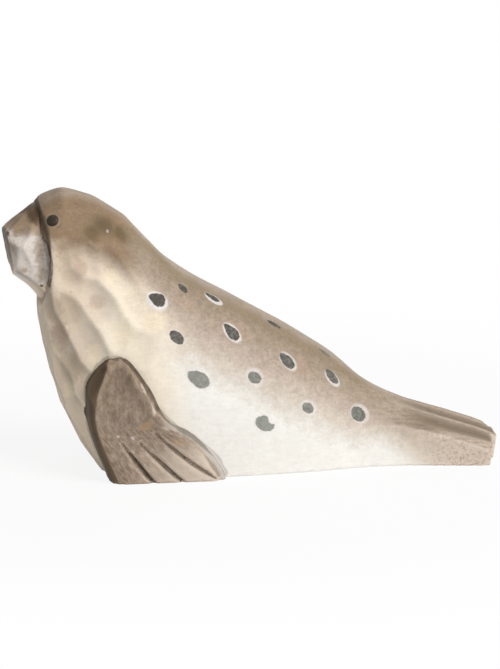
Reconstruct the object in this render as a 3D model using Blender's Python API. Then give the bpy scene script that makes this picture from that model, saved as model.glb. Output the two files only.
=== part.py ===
"""Seal figurine, carved with a knife and gouge from one block of pale wood, then painted.

The figure lies along X with its nose at -X and its tail at +X, and rests on a sawn base at Z = 0.
Its outline is a side pattern, as a carver draws one on the block: each point of it is a share of
the body length from the nose and a share of the crown height from the base. Widths, cuts and
grooves have sizes of their own, in millimetres.
"""

import math
from typing import NamedTuple

import bmesh
import bpy
import numpy as np
from mathutils import Vector

MM = 0.001

# The block, and the widths across the figure
BODY_LENGTH = 140.5
CROWN_HEIGHT = 81.2
NOSE_WIDTH = 12.0
MUZZLE_WIDTH = 19.0
FACE_WIDTH = 24.5
HEAD_WIDTH = 28.0
NECK_WIDTH = 29.0
CHEST_WIDTH = 37.5
LOIN_WIDTH = 25.0
TAIL_WIDTH = 32.0

# Front flippers: how far apart their outer faces stand at the shoulder and on the ground
SHOULDER_SPAN = 40.0
FRONT_SPAN = 44.5
FLIPPER_ROOT_GAP = 14.0
SHOULDER_LEVEL = 0.437

# Eyes, each a low dome left standing inside a punched ring
EYE_DIAMETER = 3.3
EYE_RING_DEPTH = 0.35

# Lines between the digits of a front flipper, cut with a V tool
DIGIT_GROOVE_WIDTH = 1.3
DIGIT_GROOVE_DEPTH = 1.1

# Hollows along the hind flippers, cut with a gouge
FLUTE_WIDTH = 7.0
FLUTE_DEPTH = 0.9
FLUTE_SPACING = 8.0

# The sawn ends of the toes: how far the outer ones stand back from the inner ones, and the far
# inner one from the near one, and the share of their height by which the saw leant inwards
TOE_STEP = 2.6
FAR_TOE_STEP = 1.3
TOE_LEAN = 0.14
TOE_NOTCH_WIDTH = 1.4
TOE_NOTCH_LENGTH = 3.2
TAIL_SPLIT_LENGTH = 6.5

# Knife facets: the hollow of each, how far the ridges between them stand and how far they are
# rubbed down, and the even depth of the cut
KNIFE_HOLLOW_RADIUS = 45.0
RIDGE_HEIGHT = 1.0
RIDGE_RUB = 0.07
FACET_DEPTH = 0.3

# How many points lie along and around each carved form, and the triangles left once flat facets
# are merged
BODY_POINT_COUNTS = (200, 152)
MUZZLE_POINT_COUNTS = (64, 80)
FLIPPER_POINT_COUNTS = (72, 64)
TRIANGLE_BUDGET = 10200

# How far a cutter runs past what it cuts, how deep the saw reaches under the base, and how close
# two points left by a cut may lie before they become one
OVERCUT = 2.0
SAW_DEPTH = 20.0
POINT_MERGE = 0.01


class Station(NamedTuple):
    """One cross-section: where it meets the two rails of the pattern, and its shape across."""

    upper_x: float
    upper_z: float
    lower_x: float
    lower_z: float
    width: float
    widest: float
    upper_round: float
    lower_round: float
    roof: float = 0.0
    middle_y: float = 0.0


# Body, from the flat face behind the muzzle to the toe tips. The lower rail runs under the base
# from the chest on, so that the saw leaves a broad flat sole.
BODY = (
    Station(0.060, 0.961, 0.096, 0.650, FACE_WIDTH, 0.50, 2.4, 2.3),
    Station(0.085, 0.986, 0.070, 0.600, HEAD_WIDTH - 1.5, 0.52, 2.4, 2.2),
    Station(0.122, 1.000, 0.067, 0.543, HEAD_WIDTH, 0.52, 2.3, 2.2),
    Station(0.171, 0.974, 0.073, 0.481, HEAD_WIDTH, 0.50, 2.2, 2.1),
    Station(0.225, 0.920, 0.082, 0.409, NECK_WIDTH - 1.0, 0.50, 2.1, 2.1),
    Station(0.270, 0.847, 0.093, 0.333, NECK_WIDTH, 0.48, 2.0, 2.1),
    Station(0.315, 0.757, 0.111, 0.238, NECK_WIDTH + 3.0, 0.46, 2.0, 2.2),
    Station(0.369, 0.694, 0.143, 0.125, CHEST_WIDTH - 2.0, 0.44, 1.9, 2.3),
    Station(0.430, 0.631, 0.188, 0.003, CHEST_WIDTH, 0.40, 1.9, 2.5),
    Station(0.500, 0.562, 0.290, -0.110, CHEST_WIDTH, 0.37, 1.9, 2.8),
    Station(0.582, 0.480, 0.440, -0.140, CHEST_WIDTH - 1.5, 0.37, 1.9, 3.0),
    Station(0.664, 0.383, 0.600, -0.140, LOIN_WIDTH + 6.0, 0.40, 2.0, 3.0),
    Station(0.730, 0.283, 0.700, -0.120, LOIN_WIDTH + 1.0, 0.42, 2.4, 3.0),
    Station(0.804, 0.213, 0.795, -0.110, LOIN_WIDTH, 0.45, 4.5, 4.0, 0.14),
    Station(0.890, 0.164, 0.885, -0.100, TAIL_WIDTH - 3.0, 0.48, 10.0, 6.0, 0.30),
    Station(0.960, 0.122, 0.955, -0.100, TAIL_WIDTH, 0.48, 12.0, 6.0, 0.38),
    Station(1.006, 0.087, 1.006, -0.100, TAIL_WIDTH - 1.0, 0.48, 12.0, 6.0, 0.40),
)

# Muzzle, from inside the head and throat to the flat of the nose
MUZZLE = (
    Station(0.170, 0.760, 0.120, 0.478, MUZZLE_WIDTH - 4.0, 0.50, 2.3, 2.2),
    Station(0.125, 0.860, 0.080, 0.552, MUZZLE_WIDTH - 2.0, 0.50, 2.4, 2.2),
    Station(0.090, 0.930, 0.064, 0.608, MUZZLE_WIDTH, 0.50, 2.5, 2.3),
    Station(0.058, 0.947, 0.054, 0.647, MUZZLE_WIDTH, 0.50, 2.6, 2.5),
    Station(0.032, 0.918, 0.042, 0.672, MUZZLE_WIDTH - 0.5, 0.50, 2.6, 2.6),
    Station(0.006, 0.882, 0.025, 0.694, NOSE_WIDTH + 4.0, 0.50, 2.8, 2.8),
    Station(-0.004, 0.865, 0.012, 0.712, NOSE_WIDTH, 0.50, 3.0, 3.0),
)


def flipper_face(level):
    """How far the outer face of a front flipper stands from the middle, at a pattern height."""
    drop = 1 - level / SHOULDER_LEVEL
    return (SHOULDER_SPAN + (FRONT_SPAN - SHOULDER_SPAN) * drop) / 2


def flipper_station(lead_x, lead_z, trail_x, trail_z):
    """A section of a front flipper, between its leading and its trailing edge."""
    outer = flipper_face((lead_z + trail_z) / 2)
    inner = FLIPPER_ROOT_GAP / 2
    return Station(
        trail_x, trail_z, lead_x, lead_z, outer - inner, 0.5, 8.0, 6.0, 0.0, (outer + inner) / 2
    )


# Front flipper, from the shoulder down to below the base
FLIPPER = (
    flipper_station(0.193, 0.431, 0.214, 0.437),
    flipper_station(0.180, 0.414, 0.231, 0.423),
    flipper_station(0.163, 0.379, 0.251, 0.378),
    flipper_station(0.151, 0.330, 0.275, 0.314),
    flipper_station(0.151, 0.250, 0.293, 0.247),
    flipper_station(0.156, 0.185, 0.313, 0.203),
    flipper_station(0.167, 0.122, 0.347, 0.172),
    flipper_station(0.178, 0.072, 0.381, 0.120),
    flipper_station(0.189, 0.026, 0.415, 0.034),
    flipper_station(0.199, -0.030, 0.431, -0.035),
)

# Wide cuts along the leading edge and the shoulder of a front flipper. Each starts at a pattern
# point of the outer face, turned by so many degrees towards the nose and lifted by so many.
FLIPPER_BEVELS = (
    (0.180, 0.387, 55, 20),
    (0.168, 0.316, 35, 12),
    (0.156, 0.250, 72, 0),
    (0.212, 0.416, 5, 50),
)

# Lines between the four digits, each from its upper end to the ground in pattern points, and how
# far it bows down towards the nose, in millimetres
DIGIT_GROOVES = (
    ((0.215, 0.140), (0.276, 0.0), 0.3),
    ((0.251, 0.143), (0.335, 0.0), 0.3),
    ((0.283, 0.175), (0.403, 0.010), 0.9),
)

# Where the knife went in: body station, and degrees round from the side, over the top
HEAD_CUTS = (
    (0.5, 8), (1.1, 56), (0.9, 90), (2.1, 3), (2.2, 62), (2.3, 92), (2.8, 354), (3.2, 16),
    (3.4, 46), (3.7, 88), (1.3, 322), (2.0, 318), (2.6, 272),
)  # fmt: skip
NECK_CUTS = (
    (3.4, 339), (4.1, 315), (4.0, 272), (4.6, 3), (4.6, 25), (4.7, 56), (5.0, 90), (5.0, 342),
    (5.4, 303), (5.5, 48), (5.5, 271), (5.8, 6), (5.9, 321), (6.0, 25), (6.3, 304), (6.3, 68),
)  # fmt: skip
CHEST_CUTS = (
    (6.5, 272), (6.7, 345), (6.7, 12), (7.0, 306), (7.0, 38), (7.2, 90), (7.4, 332), (7.6, 275),
    (7.8, 18), (7.9, 58), (8.2, 350), (8.6, 36), (8.8, 82), (9.0, 5), (9.6, 58),
)  # fmt: skip
BACK_CUTS = (
    (10.0, 22), (10.2, 88), (10.8, 50), (11.3, 5), (11.6, 80), (12.1, 38), (12.8, 70), (13.2, 12),
)  # fmt: skip
MUZZLE_CUTS = ((3.2, 5), (3.4, 60), (3.4, 90), (4.6, 348), (4.8, 38), (4.9, 90), (5.2, 5), (3.8, 300))
FLIPPER_CUTS = ((1.0, 170), (2.6, 192), (3.4, 168), (4.8, 196), (5.2, 165), (3.0, 110), (5.0, 100))

# How strongly the knife marks show at each body station, for the back was rubbed smooth, and the
# share of them that is rubbed away where the wood faces straight up
MARKS_BY_STATION = ((0, 0.4), (2, 0.5), (3.5, 1.0), (7, 1.0), (9, 0.35), (12, 0.25), (14, 0.0))
TOP_RUB = 0.6

# The far side was carved by eye, so its cuts fall a little off those of the near side
FAR_SIDE_SLIP = (0.15, 7)


def pattern(x, z):
    """A point of the side pattern, in millimetres."""
    return (x - 0.5) * BODY_LENGTH, z * CROWN_HEIGHT


def smooth_rows(rows, count):
    """Rows read along a smooth curve that passes through each of them."""
    rows = np.array(rows, float)
    first = 2 * rows[0] - rows[1]
    last = 2 * rows[-1] - rows[-2]
    padded = np.vstack([first, rows, last])
    t = np.linspace(0, len(rows) - 1, count)
    i = np.minimum(t.astype(int), len(rows) - 2)
    f = (t - i)[:, None]
    a, b, c, d = (padded[i + k] for k in range(4))
    return 0.5 * (
        2 * b + (c - a) * f + (2 * a - 5 * b + 4 * c - d) * f**2 + (3 * b - a - 3 * c + d) * f**3
    )


def loft(stations, counts):
    """Points ring by ring, in millimetres: rounded sections carried along the two rails."""
    rings, around = counts
    rows = smooth_rows(stations, rings)[:, :, None]
    ux, uz, lx, lz, width, widest, upper_round, lower_round, roof, middle = rows.swapaxes(0, 1)
    turn = np.arange(around) * 2 * math.pi / around
    across, up = np.cos(turn)[None], np.sin(turn)[None]
    squareness = np.where(up > 0, upper_round, lower_round)
    reach = (np.abs(across) ** squareness + np.abs(up) ** squareness) ** (-1 / squareness)
    y, rise = across * reach, up * reach
    share = widest + rise * np.where(up > 0, (1 - widest) * (1 - roof * y**2), widest)
    x, z = pattern(lx + (ux - lx) * share, lz + (uz - lz) * share)
    return np.stack([x, middle - y * width / 2, z], axis=2)


def outward_normals(points):
    """The outward direction at each point of a loft."""
    around = np.roll(points, -1, axis=1) - np.roll(points, 1, axis=1)
    along = np.gradient(points, axis=0)
    normals = np.cross(along, around)
    normals /= np.maximum(np.linalg.norm(normals, axis=2, keepdims=True), 1e-9)
    outward = ((points - points.mean(axis=1, keepdims=True)) * normals).sum()
    return normals if outward > 0 else -normals


def place_on(points, stations, station, degrees):
    """The ring and the place in it that lie at a station and an angle round from the side."""
    rings, around = points.shape[:2]
    ring = round(station / (len(stations) - 1) * (rings - 1))
    return ring, round(degrees / 360 * around) % around


def knife_cuts(points, stations, cuts, marks=1.0):
    """Moves a loft's points onto flat, slightly hollow facets that meet in rubbed ridges."""
    normals = outward_normals(points)
    nearness = np.full(points.shape[:2], math.exp(-RIDGE_HEIGHT / RIDGE_RUB))
    for station, degrees in cuts:
        i, j = place_on(points, stations, station, degrees)
        lean = normals @ normals[i, j]
        offset = points[i, j] - points
        height = (offset @ normals[i, j]) / np.maximum(lean, 0.3)
        height += (offset**2).sum(axis=2) / (2 * KNIFE_HOLLOW_RADIUS)
        height = np.where(lean > 0.3, np.maximum(height, -RIDGE_HEIGHT), RIDGE_HEIGHT)
        nearness += np.exp(-height / RIDGE_RUB)
    depth = -RIDGE_RUB * np.log(nearness) - FACET_DEPTH
    return points + normals * (depth * marks)[:, :, None]


def both_sides(cuts):
    """The cuts of the near side, and those of the far side with their slip."""
    later, turned = FAR_SIDE_SLIP
    far = [(station + later, 180 - degrees + turned) for station, degrees in cuts]
    return list(cuts) + far


def slice_off(points, place, facing):
    """Presses the points that stand above a plane down onto it."""
    facing = np.array(Vector(facing).normalized())
    above = np.maximum((points - np.array(place)) @ facing, 0)
    return points - above[:, :, None] * facing


def gouge_flutes(points):
    """Two shallow hollows along the top of each hind flipper, fading in behind the loin."""
    x, y, z = points[:, :, 0], points[:, :, 1], points[:, :, 2]
    start, full = pattern(0.80, 0)[0], pattern(0.90, 0)[0]
    fade = np.clip((x - start) / (full - start), 0, 1)
    fade = fade * fade * (3 - 2 * fade)
    top = np.clip(outward_normals(points)[:, :, 2] * 2 - 0.8, 0, 1)
    hollow = np.zeros_like(x)
    for line in (-1.35, -0.48, 0.48, 1.35):
        offset = (y - line * FLUTE_SPACING) / (FLUTE_WIDTH / 2)
        hollow = np.maximum(hollow, 1 - offset**2)
    lowered = points.copy()
    lowered[:, :, 2] = z - FLUTE_DEPTH * hollow * fade * top
    return lowered


def carve_body():
    """The body with its knife facets and its fluted tail."""
    points = loft(BODY, BODY_POINT_COUNTS)
    cuts = both_sides(HEAD_CUTS + NECK_CUTS + CHEST_CUTS + BACK_CUTS)
    at = np.linspace(0, len(BODY) - 1, len(points))
    marks = np.interp(at, *zip(*MARKS_BY_STATION))[:, None]
    marks = marks * (1 - TOP_RUB * np.clip(outward_normals(points)[:, :, 2], 0, 1))
    return gouge_flutes(knife_cuts(points, BODY, cuts, marks))


def carve_flipper():
    """The far front flipper, with wide bevels along its leading edge."""
    points = loft(FLIPPER, FLIPPER_POINT_COUNTS)
    points = knife_cuts(points, FLIPPER, FLIPPER_CUTS, 0.6)
    for x_share, z_share, turn, lift in FLIPPER_BEVELS:
        x, z = pattern(x_share, z_share)
        turn, lift = math.radians(turn), math.radians(lift)
        facing = (-math.sin(turn) * math.cos(lift), math.cos(turn) * math.cos(lift), math.sin(lift))
        points = slice_off(points, (x, flipper_face(z_share), z), facing)
    return points


def mirrored(points):
    """The same form on the other side of the figure."""
    return points * (1, -1, 1)


def solid(name, points):
    """An object from rings of points in millimetres, joined ring to ring and closed at both ends."""
    rings, around = points.shape[:2]
    shape = bmesh.new()
    verts = [[shape.verts.new(p * MM) for p in ring] for ring in points]
    for i in range(rings - 1):
        for j in range(around):
            k = (j + 1) % around
            shape.faces.new((verts[i][j], verts[i][k], verts[i + 1][k], verts[i + 1][j]))
    shape.faces.new(verts[0])
    shape.faces.new(verts[-1])
    bmesh.ops.recalc_face_normals(shape, faces=shape.faces)
    mesh = bpy.data.meshes.new(name)
    shape.to_mesh(mesh)
    shape.free()
    made = bpy.data.objects.new(name, mesh)
    bpy.context.scene.collection.objects.link(made)
    return made


def prism(name, outline, bottom, top, lean=0.0):
    """A block over a plan outline drawn on the base, in millimetres, leaning towards +X."""
    rings = [[(x + lean * level, y, level) for x, y in outline] for level in (bottom, top)]
    return solid(name, np.array(rings, float))


def groove_cutter(name, start, end, bow, side):
    """A V tool's path down the face of a front flipper, sinking in as it nears the ground."""
    first, last = np.array(pattern(*start)), np.array(pattern(*end))
    run = last - first
    over = np.array((run[1], -run[0])) / np.linalg.norm(run)
    rings = []
    for travel, sunk in ((-0.04, -0.3), (0.2, 0.55), (0.4, 0.85), (0.6, 1.0), (0.8, 1.0), (1.1, 1.0)):
        x, z = first + run * travel + over * bow * 4 * travel * (1 - travel)
        z_share = z / CROWN_HEIGHT
        depth = DIGIT_GROOVE_DEPTH * sunk
        spread = (depth + OVERCUT) * DIGIT_GROOVE_WIDTH / 2 / DIGIT_GROOVE_DEPTH
        face = flipper_face(z_share)
        outer = side * (face + OVERCUT)
        rings.append(
            [
                (x, side * (face - depth), z),
                (x + over[0] * spread, outer, z + over[1] * spread),
                (x - over[0] * spread, outer, z - over[1] * spread),
            ]
        )
    return solid(name, np.array(rings))


def toe_edge(tip, inner_step):
    """Plan outline of the two toes on one side, from the outer edge to the middle."""
    outer, inner = tip - TOE_STEP, tip - inner_step
    half, between, notch = TAIL_WIDTH / 2, FLUTE_SPACING, TOE_NOTCH_WIDTH / 2
    return [
        (outer - 1.2, half + OVERCUT),
        (outer - 0.4, half),
        (outer, half - 1.2),
        (outer, between + notch),
        (outer - TOE_NOTCH_LENGTH, between),
        (inner - 0.4, between - notch),
        (inner, between / 2),
        (inner - 0.5, notch),
    ]


def toe_waste():
    """What the saw takes off the tail end: a stepped edge with a notch between the toes."""
    end, top = pattern(BODY[-1].upper_x, BODY[-1].upper_z)
    tip = pattern(1.0, 0)[0] - TOE_LEAN * top
    near = [(x, -y) for x, y in toe_edge(tip, 0.0)]
    far = toe_edge(tip, FAR_TOE_STEP)
    split = [(tip - TAIL_SPLIT_LENGTH, 0.0)]
    half = TAIL_WIDTH / 2 + OVERCUT
    beyond = [(end + OVERCUT, half), (end + OVERCUT, -half)]
    outline = near + split + far[::-1] + beyond
    return prism("toe_waste", outline, -SAW_DEPTH, CROWN_HEIGHT / 3, TOE_LEAN)


def eye_ring(name, place, facing):
    """A punch for the ring round an eye."""
    bpy.ops.mesh.primitive_torus_add(
        major_radius=(EYE_DIAMETER / 2 + EYE_RING_DEPTH) * MM,
        minor_radius=EYE_RING_DEPTH * MM,
        major_segments=28,
        minor_segments=8,
    )
    ring = bpy.context.object
    ring.name = name
    ring.location = Vector(place) * MM
    ring.rotation_euler = Vector(facing).to_track_quat("Z", "Y").to_euler()
    return ring


def combine(target, tool, operation):
    """Joins a hidden shape to the target, or cuts it out. The shape then moves with the target."""
    tool.parent = target
    tool.hide_render = True
    tool.display_type = "WIRE"
    boolean = target.modifiers.new(tool.name, "BOOLEAN")
    boolean.operation = operation
    boolean.solver = "EXACT"
    boolean.object = tool
    weld = target.modifiers.new(f"{tool.name}_weld", "WELD")
    weld.merge_threshold = POINT_MERGE * MM


def as_carved(target):
    """The target's mesh with all that has been joined to it and cut out of it."""
    bpy.context.view_layer.update()
    return target.evaluated_get(bpy.context.evaluated_depsgraph_get()).data


def merge_flat_facets(target):
    """Leaves fewer and larger triangles where the knife left the wood flat."""
    whole = as_carved(target)
    whole.calc_loop_triangles()
    decimate = target.modifiers.new("merge_flat_facets", "DECIMATE")
    decimate.ratio = min(TRIANGLE_BUDGET / len(whole.loop_triangles), 1.0)


def centre_over_origin(target):
    """Moves the target sideways until the middle of its outline lies over the origin."""
    places = [corner.co for corner in as_carved(target).vertices]
    for axis in (0, 1):
        reach = [place[axis] for place in places]
        target.location[axis] = -(min(reach) + max(reach)) / 2


def painted_wood():
    """Matt paint rubbed over pale wood."""
    material = bpy.data.materials.new("painted_wood")
    material.use_nodes = True
    shader = material.node_tree.nodes["Principled BSDF"]
    shader.inputs["Base Color"].default_value = (0.55, 0.47, 0.38, 1.0)
    shader.inputs["Roughness"].default_value = 0.72
    shader.inputs["Metallic"].default_value = 0.0
    return material


def main():
    for old in list(bpy.data.objects):
        bpy.data.objects.remove(old)

    body = carve_body()
    seal = solid("carved_seal", body)
    seal.data.materials.append(painted_wood())
    muzzle = loft(MUZZLE, MUZZLE_POINT_COUNTS)
    muzzle = knife_cuts(muzzle, MUZZLE, both_sides(MUZZLE_CUTS), 0.7)
    flipper = carve_flipper()
    combine(seal, solid("muzzle", muzzle), "UNION")
    combine(seal, solid("far_flipper", flipper), "UNION")
    combine(seal, solid("near_flipper", mirrored(flipper)), "UNION")
    merge_flat_facets(seal)

    for number, groove in enumerate(DIGIT_GROOVES, 1):
        combine(seal, groove_cutter(f"near_groove_{number}", *groove, -1), "DIFFERENCE")
        combine(seal, groove_cutter(f"far_groove_{number}", *groove, 1), "DIFFERENCE")
    normals = outward_normals(body)
    for name, degrees in (("near_eye", 35), ("far_eye", 145)):
        i, j = place_on(body, BODY, 1.18, degrees)
        combine(seal, eye_ring(name, body[i, j], normals[i, j]), "DIFFERENCE")
    combine(seal, toe_waste(), "DIFFERENCE")

    half_l, half_w = BODY_LENGTH / 2 + OVERCUT, FRONT_SPAN / 2 + OVERCUT
    outline = [(-half_l, -half_w), (half_l, -half_w), (half_l, half_w), (-half_l, half_w)]
    combine(seal, prism("saw_waste", outline, -SAW_DEPTH, 0), "DIFFERENCE")
    centre_over_origin(seal)


main()
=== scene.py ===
"""Painted surface, eyes, floor, light and camera for a carved wooden seal.

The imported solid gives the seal's form. Here it gets a fine skin, on which masks say where the
carver's paint lies: a taupe back that fades to a white belly, a grey muzzle, dark flippers and
rimmed spots. Lengths are millimetres in the seal's own frame: nose at -X, near flank at -Y.
"""

import math
import random
from typing import NamedTuple

import bmesh
import bpy
import numpy as np
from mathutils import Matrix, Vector
from mathutils.bvhtree import BVHTree


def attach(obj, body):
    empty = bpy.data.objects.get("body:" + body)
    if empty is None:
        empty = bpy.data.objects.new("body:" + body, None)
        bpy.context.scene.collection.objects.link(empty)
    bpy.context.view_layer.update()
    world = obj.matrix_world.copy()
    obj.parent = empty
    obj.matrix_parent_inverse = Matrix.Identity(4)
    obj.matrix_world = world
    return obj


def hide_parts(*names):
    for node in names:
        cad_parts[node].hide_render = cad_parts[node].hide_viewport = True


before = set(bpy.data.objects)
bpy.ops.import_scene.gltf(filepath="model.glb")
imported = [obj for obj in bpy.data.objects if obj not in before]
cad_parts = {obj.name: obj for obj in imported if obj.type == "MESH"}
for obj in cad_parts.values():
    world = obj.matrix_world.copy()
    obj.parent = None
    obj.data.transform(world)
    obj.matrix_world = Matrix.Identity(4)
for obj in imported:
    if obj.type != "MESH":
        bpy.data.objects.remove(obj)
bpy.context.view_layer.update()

MM = 0.001
SEAL = "carved_seal"

# The fine skin
VOXEL = 0.53
SMOOTH_FROM = (-38.0, -26.0)
SMOOTH_UNTIL = (33.0, 41.0)
SMOOTH_PASSES = 36
SOFTEN = 0.4
SOFTEN_PASSES = 2
BASE_LEVEL = 0.12
# One push inward and a slightly stronger one outward, so that smoothing keeps the volume
RELAX_PUSHES = (0.6, -0.62)

# Ridges and hollows: the height over the same surface evened by so many passes, in this unit
RIDGE_PASSES = 5
RIDGE_HEIGHT = 0.05
RIDGE_LIMIT = 3

# Facets that the knife left on the head and the chest get a painted light and shade: lighter where
# they turn towards the tail, outwards and up, against the surface around them
FACET_PASSES = 40
FACET_SHADE_BLUR = 2
FACET_LIT_X, FACET_LIT_OUT, FACET_LIT_Z = 0.55, 0.45, 0.7
FACET_SHADE_LIMIT = 0.35
FACET_SHADE_STRENGTH = 2.0
BRIGHTEST = 1.12

# How the surfaces take the light, and the faint relief of the grain
PAINT_ROUGHNESS, PAINT_GLOSS = 0.72, 0.25
EYE_ROUGHNESS, EYE_GLOSS = 0.5, 0.3
FLOOR_ROUGHNESS, FLOOR_GLOSS = 0.9, 0.0
GRAIN_STRENGTH, GRAIN_HEIGHT = 0.25, 0.06

# The line that runs through the middle of the body: its height at one place, and its fall
SPINE_X, SPINE_Z = -25.0, 34.0
SPINE_FALL = 0.42

# The coat pales with depth below the back, seen a little from above, and sooner near the tail
DEPTH_DOWN, DEPTH_ACROSS = 0.974, 0.222
DEPTH_STRETCH = ((-70, 1.0), (5, 1.0), (20, 0.92), (28, 0.8), (35, 0.58), (70, 0.58))
DEPTH_SPAN = 40.0

# The back's height is read on slices across the body, in a band along its middle
BACK_HALF_WIDTH = 3
BACK_SLICES = np.arange(-70, 71, 2.0)
SLICE_HALF_WIDTH = 1.2

# Outline of a front flipper in the side view, from the shoulder down each edge
FLIPPER_FRONT = (
    (-42.7, 35.0), (-44.5, 33.6), (-46.9, 30.8), (-48.6, 26.8), (-48.6, 20.3), (-47.9, 15.0),
    (-46.4, 9.9), (-44.8, 5.8), (-43.3, 2.1), (-41.9, -2.4),
)  # fmt: skip
FLIPPER_REAR = (
    (-39.8, 35.5), (-37.4, 34.3), (-34.6, 30.7), (-31.2, 25.5), (-28.7, 20.1), (-25.8, 16.5),
    (-21.1, 14.0), (-16.3, 9.7), (-11.5, 2.8), (-9.3, -2.8),
)  # fmt: skip

# A flipper lies further out than this; the rest of the body counts as at least so far from it
FLIPPER_INNER_Y = 11.0
FAR_FROM_FLIPPER = 3.0
FLIPPER_BLEND = (0.6, 2.6)

# A flipper's side walls face along the body, and stand a little out of its outline
WALL_TILT = 0.55
WALL_REACH = 0.9
WALL_SHARE = 0.15

# Lines between the digits, each with how far it bows down towards the nose
DIGIT_GROOVES = (
    ((-39.6, 11.4), (-31.0, 0.0), 0.3),
    ((-34.6, 11.6), (-22.8, 0.0), 0.3),
    ((-30.1, 14.2), (-13.2, 0.8), 0.9),
)
GROOVE_REACH = 1
NO_GROOVE = 9.0

# The digits' brush strokes fan out from here, with their angle turned into millimetres at this
# radius, and the strokes of the two sides are kept apart
DIGIT_FAN = (-63.6, 40.4)
FAN_RADIUS = 45
FAN_SIDE_SHIFT = 20

# Hollows along the hind flippers, left and right of the middle
FLUTE_LINES = (3.8, 10.8)
FLUTE_HALF_WIDTH = 3.5

# Step between the muzzle and the face, in the side view, from the brow to the throat
STEP_LINE = (
    (-61.0, 78.3), (-61.2, 72.6), (-60.8, 69.4), (-59.5, 67.8), (-58.9, 65.0), (-58.6, 62.6),
    (-58.5, 61.0), (-58.9, 57.8), (-59.2, 55.7),
)  # fmt: skip

# Lower edge of the brown on the head and the nape
CROWN_EDGE = (
    (-70.0, 70.5), (-61.0, 70.5), (-57.4, 69.0), (-52.9, 67.4), (-49.1, 68.0), (-44.8, 66.4),
    (-39.0, 61.6), (-33.3, 56.2), (-27.6, 52.0),
)  # fmt: skip

# The eyes, found on the face by looking in from beside the head
EYE_X, EYE_Z = -58.1, 74.7
EYE_RADIUS = 1.6
EYE_RISE = 0.5
EYE_SEGMENTS, EYE_RINGS = 40, 20
BESIDE_HEAD = 40

# From where a paint starts to where it is full, along the body
CHEST_ALONG = (-16.0, -32.0)
THROAT_ALONG = (-42.0, -50.0)
HEAD_ALONG = (-30.0, -40.0)
FACE_ALONG = (-50.0, -52.0)
DIGITS_ALONG = (-40.0, -18.0)
CHIPS_ALONG = (-31.0, -24.0)
TAIL_TOP_ALONG = (28.0, 43.0)
TAIL_SIDES_ALONG = (38.0, 55.0)
TAIL_CREAM_ALONG = (58.0, 36.0)
FLUTES_ALONG = (36.0, 52.0)

# The same in height over the base
MUZZLE_BROWN_HEIGHT = (69.0, 72.0)
CHIN_HEIGHT = (64.0, 58.0)
MUZZLE_HEIGHT = (54.6, 56.6)
LEAD_HEIGHT = (24.0, 20.0)
SHOULDER_HEIGHT = (18.0, 29.0)
HATCH_HEIGHT = (19.0, 13.0)
DIGITS_HEIGHT = (14.0, 5.0)
TAIL_CREAM_HEIGHT = (12.0, 4.0)
SOLE_HEIGHT = (0.1, 0.03)

# The same in depth below the back
CROWN_TOP_DEPTH = (3.6, 0.8)
THROAT_DEPTH = (8.0, 15.0)
CHEST_DEPTH = (12.0, 24.0)
MOTTLE_DEPTH = (30.0, 15.0)

# The same in how far the surface faces up or forward, which is 1 at most
TAIL_TOP_UP = (0.22, 0.36)
SOLE_UP = (-0.8, -0.95)
NOSE_FORWARD = (0.66, 0.86)
FLIPPER_SHADE_FORWARD = (0.3, 0.55)

# The same in height over the lower edge of the crown's brown
CROWN_BLEND = (-5.0, 2.5)

# The same in distance from a line or an outline, less than zero inside an outline
MUZZLE_BLEND = (0.1, -0.1)
STEP_SHADE_LINE_BLEND = (0.4, 0.1)
STEP_SHADE_BLEND = (1.6, 0.2)
LEAD_BLEND = (0.8, 0.4)
CHIPS_BLEND = (-1.5, -0.7)
LIMB_BLEND = (0.4, 0.22)
GROOVE_BLEND = (0.5, 0.12)
GROOVE_LIP_INNER, GROOVE_LIP_OUTER = (0.5, 0.75), (1.5, 0.9)
EYE_PAINT_BLEND = (1.9, 1.6)
EYE_HALO_INNER, EYE_HALO_OUTER = (1.5, 1.9), (2.6, 2.1)

# The same in shares of a spot's size, where 1 is its edge
SPOT_BLEND = (1.07, 0.92)
RIM_BLEND = (1.14, 0.88)


class Spot(NamedTuple):
    """A spot of the coat: its place along the body and round from the side, and its shape."""

    x: float
    degrees: float
    length: float
    breadth: float
    turn: float
    greyness: float
    rim: float = 0.0
    rim_width: float = 0.5
    rim_back: float = 0.0
    rim_down: float = 0.0
    taper: float = 0.0
    notch: float = 0.0


SPOTS = (
    Spot(-28.6, 51, 5.3, 3.7, -3, 0.0, 1.0, 0.7, 0.15, 0.4, taper=0.4),
    Spot(-20.6, 68, 3.4, 2.3, -33, 0.0),
    Spot(-11.9, 73, 5.0, 1.5, -8, 0.15, 0.8, 0.5, 0.6, 0.4, taper=0.3),
    Spot(-7.2, 52, 6.0, 3.2, -27, 0.1, 0.85, 0.45, 0.4, 0.2, taper=0.45),
    Spot(-23.4, 25, 4.8, 3.3, -20, 0.15, 0.15),
    Spot(-17.5, -7, 7.2, 4.3, -9, 0.8, 0.6, 0.75, 0.3, -0.2, taper=0.2),
    Spot(6.2, 77, 4.6, 1.5, -8, 0.1),
    Spot(8.8, 47, 5.8, 3.1, -31, 0.2, 0.7, 0.4, 0.45, 0.1, taper=0.2),
    Spot(-1.1, 15, 4.2, 3.3, -9, 0.65, 0.5, 0.7, 0.0, -0.4),
    Spot(20.9, 76, 4.2, 1.3, -10, 0.4),
    Spot(22.1, 52, 5.2, 2.6, -31, 0.3, 0.7, 0.35, 0.3, 0.45),
    Spot(14.3, 4, 3.7, 2.9, -18, 0.75, 0.5, 0.7, 0.2, -0.2),
    Spot(29.3, 20, 4.8, 3.9, -25, 0.45, 0.6, 0.65, 0.4, -0.3),
    Spot(1.5, -24, 5.8, 4.3, 2, 1.0, 0.3, 0.6, notch=0.52),
)
NOTCH_PLACE = (0.68, 0.78)
TAPER_RANGE = (0.3, 2)
NO_SPOT = 9.0
FAR_SIDE_SEED = 7


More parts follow.
